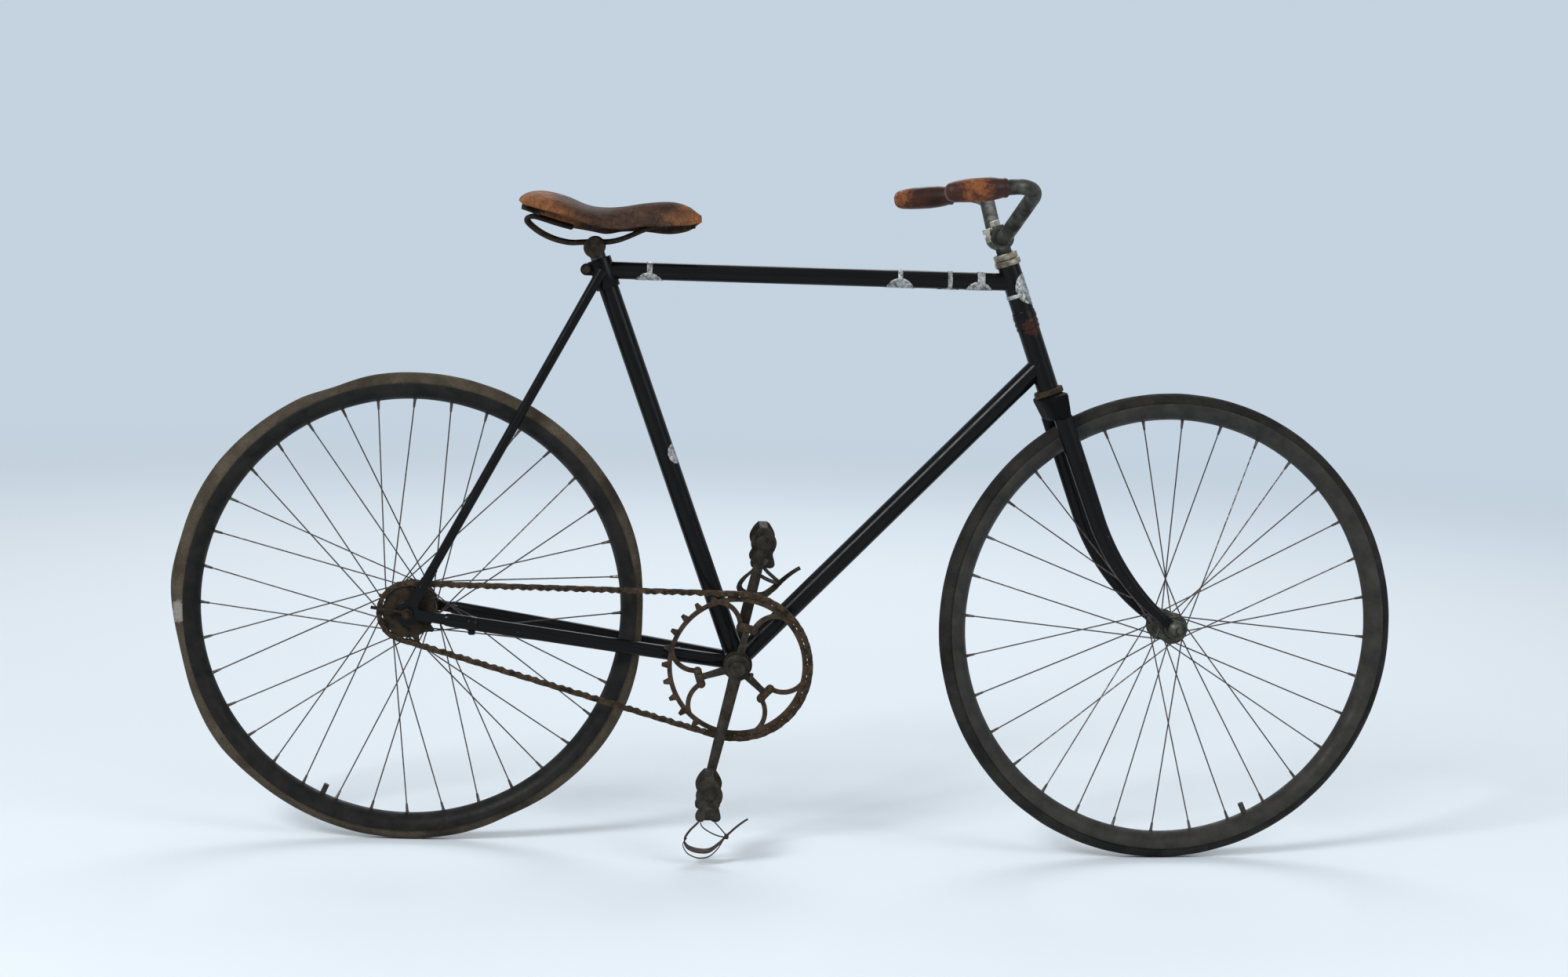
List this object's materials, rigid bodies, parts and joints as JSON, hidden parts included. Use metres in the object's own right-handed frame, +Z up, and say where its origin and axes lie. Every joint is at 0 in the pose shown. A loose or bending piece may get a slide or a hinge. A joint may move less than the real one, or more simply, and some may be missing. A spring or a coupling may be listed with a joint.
{
  "type": "antique safety bicycle",
  "caption": "Antique diamond-frame safety bicycle with a block chain, wire wheels, leather saddle, upswept handlebar and rat-trap pedals with toe clips.",
  "frame": {"origin": "the rider's seat point on top of the saddle", "axes": "+X forward, +Y to the rider's left, +Z up; the bicycle stands upright"},
  "size_m": [1.7863, 0.3757, 0.9903],
  "materials": {
    "black_enamel": "glossy black stove enamel, chipped",
    "tarnished_nickel": "tarnished nickel plate with a greenish bronze cast",
    "rusty_steel": "brown rusted steel",
    "spoke_wire": "dark rusted wire",
    "worn_rim": "worn grey brown paint",
    "tan_tyre": "perished tan rubber",
    "dark_tyre": "perished dark grey rubber",
    "saddle_leather": "worn orange brown leather",
    "grip_leather": "red brown grip, dulled"
  },
  "bodies": {
    "frame": {"head_tube": "black_enamel", "head_cup_upper": "tarnished_nickel", "head_cup_lower": "tarnished_nickel", "bracket_shell": "black_enamel", "bracket_cups": "rusty_steel", "seat_tube": "black_enamel", "top_tube": "black_enamel", "down_tube": "black_enamel", "seat_lug": "black_enamel", "binder_bolt": "tarnished_nickel", "rear_fork_ends": "black_enamel", "chain_stay_right": "black_enamel", "chain_stay_left": "black_enamel", "seat_stay_right": "black_enamel", "seat_stay_left": "black_enamel", "stay_clip": "black_enamel", "stay_bridges": "black_enamel", "rear_axle": "rusty_steel", "rear_axle_nuts": "tarnished_nickel", "chain_adjusters": "rusty_steel", "seat_post": "tarnished_nickel", "saddle_clamp": "tarnished_nickel", "saddle_leather": "saddle_leather", "saddle_plates": "rusty_steel", "saddle_rails": "rusty_steel", "chain": "rusty_steel"},
    "steering": {"fork_crown": "black_enamel", "lock_nut": "tarnished_nickel", "fork_tips": "black_enamel", "fork_blade_right": "black_enamel", "fork_blade_left": "black_enamel", "front_axle": "rusty_steel", "front_axle_nuts": "tarnished_nickel", "stem": "tarnished_nickel", "stem_bolt": "tarnished_nickel", "handlebar": "tarnished_nickel", "grip_right": "grip_leather", "grip_left": "grip_leather"},
    "front_wheel": {"front_tyre": "dark_tyre", "front_valve": "tarnished_nickel", "front_rim": "worn_rim", "front_hub": "tarnished_nickel", "front_spokes": "spoke_wire"},
    "rear_wheel": {"rear_tyre": "tan_tyre", "rear_valve": "tarnished_nickel", "rear_rim": "black_enamel", "rear_hub": "tarnished_nickel", "rear_spokes": "spoke_wire", "rear_cog": "rusty_steel", "cog_lock_ring": "rusty_steel"},
    "crank": {"chainring": "rusty_steel", "crank_right": "rusty_steel", "crank_left": "rusty_steel", "crank_axle": "rusty_steel", "crank_nuts": "rusty_steel", "pedal_spindles": "rusty_steel"},
    "pedal_right": {"pedal_right": "rusty_steel", "toe_clip_right": "rusty_steel"},
    "pedal_left": {"pedal_left": "rusty_steel", "toe_clip_left": "rusty_steel"}
  },
  "joints": [
    {"name": "steering", "type": "hinge", "parent": "frame", "child": "steering", "pos_m": [0.69129, 0, -0.25413], "axis": [-0.342, 0, 0.9397], "range_deg": [-98, 82]},
    {"name": "front_wheel_spin", "type": "hinge", "parent": "steering", "child": "front_wheel", "pos_m": [0.88044, 0.00863, -0.59428], "axis": [-0.1308, 0.9903, -0.0476], "continuous": true},
    {"name": "rear_wheel_spin", "type": "hinge", "parent": "frame", "child": "rear_wheel", "pos_m": [-0.225, 0, -0.59408], "axis": [0, 1, 0], "continuous": true},
    {"name": "crank_spin", "type": "hinge", "parent": "frame", "child": "crank", "pos_m": [0.25005, 0, -0.66108], "axis": [0, 1, 0], "continuous": true},
    {"name": "pedal_right_spin", "type": "hinge", "parent": "crank", "child": "pedal_right", "pos_m": [0.21326, -0.1185, -0.82705], "axis": [0, 1, 0], "continuous": true},
    {"name": "pedal_left_spin", "type": "hinge", "parent": "crank", "child": "pedal_left", "pos_m": [0.28685, 0.1185, -0.49511], "axis": [0, 1, 0], "continuous": true}
  ],
  "couplings": [
    {"joint": "crank_spin", "follows": "rear_wheel_spin", "ratio": 0.38462}
  ]
}
